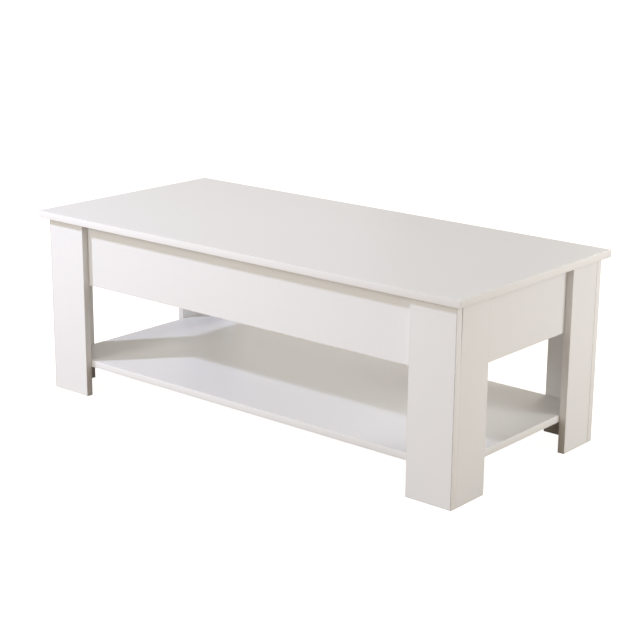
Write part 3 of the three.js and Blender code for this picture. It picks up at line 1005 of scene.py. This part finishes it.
def make_shaft():
    """The drawn bar that joins the two front arms, with its ends' edges broken."""
    low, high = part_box("cross_shaft")
    length = high.x - low.x
    inner = SHAFT_RADIUS - SHAFT_EDGE
    profile = [(0, 0), (inner, 0), (SHAFT_RADIUS, SHAFT_EDGE)]
    profile += [(SHAFT_RADIUS, length - SHAFT_EDGE), (inner, length), (0, length)]
    start = SHAFT_CENTRE + X_AXIS * low.x
    mesh = moved(lathe(profile, "shaft", segments=64), aim(X_AXIS, start), "cross_shaft_bar")
    piece(mesh.name, mesh, (DRAWN,), "front_arms", ["cross_shaft"])


def make_shaft_end(side):
    """The push-on cap at the shaft's end, and the weld that joins shaft and arm."""
    outwards = X_AXIS * SIDES[side]
    node = f"shaft_cap_{side}"
    low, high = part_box(node)
    bore = SHAFT_RADIUS + CAP_CLEARANCE
    outer = (high.z - low.z) / 2
    height = high.x - low.x
    rim = crown(outer - bore, height, squareness=0.8)
    profile = [(bore + out, height - fall) for out, fall in rim] + [(outer, 0), (bore, 0), (bore, height)]
    mesh = moved(lathe(profile, "cap"), aim(outwards, end_of(node, side)), f"{node}_pushed")
    piece(mesh.name, mesh, (ZINC,), "front_arms", [node])
    inside = SHAFT_CENTRE + X_AXIS * end_of(f"front_arm_{side}", side).x
    weld = moved(weld_mesh(), aim(-outwards, inside), f"shaft_weld_{side}")
    piece(weld.name, weld, (COATED,), "front_arms")


# ------------------------------------------------------------------ small fittings

BRACKET_CORNER = 4 * MM
BRACKET_SPREAD = 7.5 * MM
BRACKET_MARGIN = 9 * MM
LEG_BOLT_FROM_END = 44 * MM
LEG_BOLT_SHARES = (0.28, 0.74)
RETURN_BOLT_ABOVE = 12 * MM


def make_bumpers():
    """The four domed pads that the closed top rests on."""
    for side in SIDES:
        for place in PLACES:
            node = f"bumper_{place}_{side}"
            low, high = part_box(node)
            foot = (low + high) / 2
            foot.z = low.z
            height = high.z - low.z
            rim = crown((high.x - low.x) / 2, height, squareness=0.7)
            dome = [(out, height - fall) for out, fall in rim]
            mesh = moved(lathe(dome + [(0, 0)], "bumper"), Matrix.Translation(foot), f"{node}_pad")
            piece(mesh.name, mesh, (RUBBER,), "base", [node])


def make_brackets():
    """The four angles that carry the shelf, each on a leg's wide board."""
    for side in SIDES:
        for place, sign in PLACES.items():
            make_bracket(f"shelf_bracket_{place}_{side}", -sign)


def make_bracket(node, inwards):
    """An angle under the shelf, with two screws in each leaf."""
    low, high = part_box(node)
    wall = low.y if inwards > 0 else high.y
    leaf = high.z - low.z
    half_width = (high.x - low.x) / 2
    middle = (low.x + high.x) / 2
    path = arc_path([(STEEL / 2, low.z), (STEEL / 2, high.z - STEEL / 2), (leaf, high.z - STEEL / 2)], BEND)
    total = path_length(path)
    corners = [(-half_width, 0), (half_width, 0), (half_width, total), (-half_width, total)]
    places = (-BRACKET_SPREAD, BRACKET_SPREAD)
    holes = [(x, y, SCREW_HOLE) for x in places for y in (BRACKET_MARGIN, total - BRACKET_MARGIN)]
    flat = flat_sheet(rounded_points(corners, BRACKET_CORNER), holes, STEEL, "bracket_flat")
    place = Matrix.Translation((middle, wall, 0)) @ Matrix.Rotation(QUARTER * inwards, 4, "Z")
    mesh = moved(bent(flat, path, "bracket"), place, f"{node}_bent")
    piece(mesh.name, mesh, (ZINC,), "base", [node])
    head = STEEL + SCREW_HEAD_HEIGHT
    for number, x in enumerate(places, 1):
        start = Vector((middle + x, wall + inwards * head, low.z + BRACKET_MARGIN))
        fastener(SCREW, f"{node}_leg_screw_{number}", -Y_AXIS * inwards, start, "base")
        start = Vector((middle + x, wall + inwards * (leaf - BRACKET_MARGIN), high.z - head))
        fastener(SCREW, f"{node}_shelf_screw_{number}", Z_AXIS, start, "base")


def make_connector_bolts():
    """The bolts inside the compartment that hold each leg's two boards to the aprons."""
    low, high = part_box("compartment_floor")
    apron_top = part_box("front_apron")[1].z
    heights = spread(high.z, apron_top, LEG_BOLT_SHARES)
    for side, sign in SIDES.items():
        for place, way in PLACES.items():
            wall = (high.y if way > 0 else low.y) - way * BOLT_HEAD_HEIGHT
            for number, height in enumerate(heights, 1):
                start = Vector((sign * (high.x - LEG_BOLT_FROM_END), wall, height))
                fastener(BOLT, f"leg_bolt_{place}_{side}_{number}", Y_AXIS * way, start, "base")
            start = sum(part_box(f"leg_return_{place}_{side}"), Vector()) / 2
            start.x = sign * (high.x - BOLT_HEAD_HEIGHT)
            start.z = heights[1] + RETURN_BOLT_ABOVE
            fastener(BOLT, f"return_bolt_{place}_{side}", X_AXIS * sign, start, "base")


# ------------------------------------------------------------------ studio

LENS = 88.19
CAMERA_AZIMUTH = 39.95
CAMERA_ELEVATION = 15.92
CAMERA_ROLL = 0.54
CAMERA_DISTANCE = 3.254
AIM_OFFSET = Vector((0.0138, 0.0135, 0.0051))

FLOOR_REACH = 40
FLOOR_GLOW = 0.97
WORLD_TINT = (1.09, 1.0, 0.88)
WORLD_STRENGTH = 0.42
LIGHTS = {
    "key": dict(azimuth=-43.9, elevation=33.5, distance=3.0, size=0.20, watts=42, colour=(0.93, 1.0, 1.27)),
    "front_fill": dict(
        azimuth=-12, elevation=20, distance=4.0, size=1.6, watts=57, colour=(0.99, 1.0, 0.98), glossy=False
    ),
    "right_fill": dict(azimuth=112, elevation=22, distance=4.0, size=1.4, watts=29, colour=(0.98, 1.0, 1.03)),
    "right_near_fill": dict(
        azimuth=104, elevation=10, distance=1.7, size=0.9, watts=5.8, colour=(0.97, 1.0, 1.03), glossy=False
    ),
    "back_fill": dict(azimuth=180, elevation=15, distance=4.0, size=2.4, watts=76, colour=(1.04, 1.0, 0.92)),
    "back_left_fill": dict(azimuth=232, elevation=16, distance=4.0, size=2.4, watts=4.0, colour=(1, 1, 1)),
}


def direction(azimuth, elevation):
    """From the object towards a place round it. Azimuth 0 is in front, 90 to the right."""
    around = math.radians(azimuth)
    up = math.radians(elevation)
    level = Vector((math.sin(around), -math.cos(around), 0))
    return level * math.cos(up) + Z_AXIS * math.sin(up)


def make_camera(centre):
    """The camera, aimed a little past the table's middle."""
    data = bpy.data.cameras.new("camera")
    data.lens = LENS
    camera = bpy.data.objects.new("camera", data)
    back = direction(CAMERA_AZIMUTH, CAMERA_ELEVATION)
    camera.location = centre + AIM_OFFSET + back * CAMERA_DISTANCE
    level = (-back).to_track_quat("-Z", "Y")
    roll = Matrix.Rotation(math.radians(CAMERA_ROLL), 4, "Z").to_quaternion()
    camera.rotation_mode = "QUATERNION"
    camera.rotation_quaternion = level @ roll
    bpy.context.scene.collection.objects.link(camera)
    bpy.context.scene.camera = camera


def area_light(name, centre, azimuth, elevation, distance, size, watts, colour, glossy=True):
    """A round soft light that looks at the table, hidden from the camera, and from gloss if so asked."""
    data = bpy.data.lights.new(name, "AREA")
    data.shape = "DISK"
    data.size = size
    data.energy = watts
    data.color = colour
    light = bpy.data.objects.new(name, data)
    toward = direction(azimuth, elevation)
    light.location = centre + toward * distance
    light.rotation_euler = (-toward).to_track_quat("-Z", "Y").to_euler()
    light.visible_camera = False
    light.visible_glossy = glossy
    bpy.context.scene.collection.objects.link(light)


def make_world():
    """A warm, even fill light that the camera sees as white."""
    world = bpy.data.worlds.new("studio")
    world.use_nodes = True
    nodes = world.node_tree.nodes
    links = world.node_tree.links
    fill = nodes["Background"]
    fill.inputs["Color"].default_value = (*WORLD_TINT, 1)
    fill.inputs["Strength"].default_value = WORLD_STRENGTH
    seen = nodes.new("ShaderNodeBackground")
    seen.inputs["Color"].default_value = (1, 1, 1, 1)
    path = nodes.new("ShaderNodeLightPath")
    mix = nodes.new("ShaderNodeMixShader")
    links.new(path.outputs["Is Camera Ray"], mix.inputs[0])
    links.new(fill.outputs[0], mix.inputs[1])
    links.new(seen.outputs[0], mix.inputs[2])
    links.new(mix.outputs[0], nodes["World Output"].inputs["Surface"])
    bpy.context.scene.world = world


def make_floor():
    """A plain floor that the camera sees as white, and that throws back a dimmer, warmer light."""
    bm = bmesh.new()
    bmesh.ops.create_grid(bm, x_segments=1, y_segments=1, size=FLOOR_REACH)
    floor = bpy.data.objects.new("floor", mesh_from(bm, "floor"))
    bpy.context.scene.collection.objects.link(floor)
    finish = Finish("pale_floor", Roughness=0.8, Specular_IOR_Level=0.0, Emission_Strength=FLOOR_GLOW)
    seen = finish.node("ShaderNodeLightPath", output="Is Camera Ray")
    grain = finish.noise(300 * MM, detail=3)
    floor.data.materials.append(finish.done(
        Base_Color=finish.tint(grain, (0.41, 0.35, 0.27), (0.39, 0.33, 0.26)),
        Emission_Color=finish.tint(seen, (0, 0, 0), (1, 1, 1)),
    ))


def make_studio():
    """The camera, the floor and the lights round the table."""
    centre = (cad_low + cad_high) / 2
    make_camera(centre)
    make_world()
    make_floor()
    for name, settings in LIGHTS.items():
        area_light(name, centre, **settings)
    bpy.context.scene.view_settings.view_transform = "Standard"


# ------------------------------------------------------------------ the table

make_boards()
make_lift()
make_bumpers()
make_brackets()
make_connector_bolts()
make_studio()
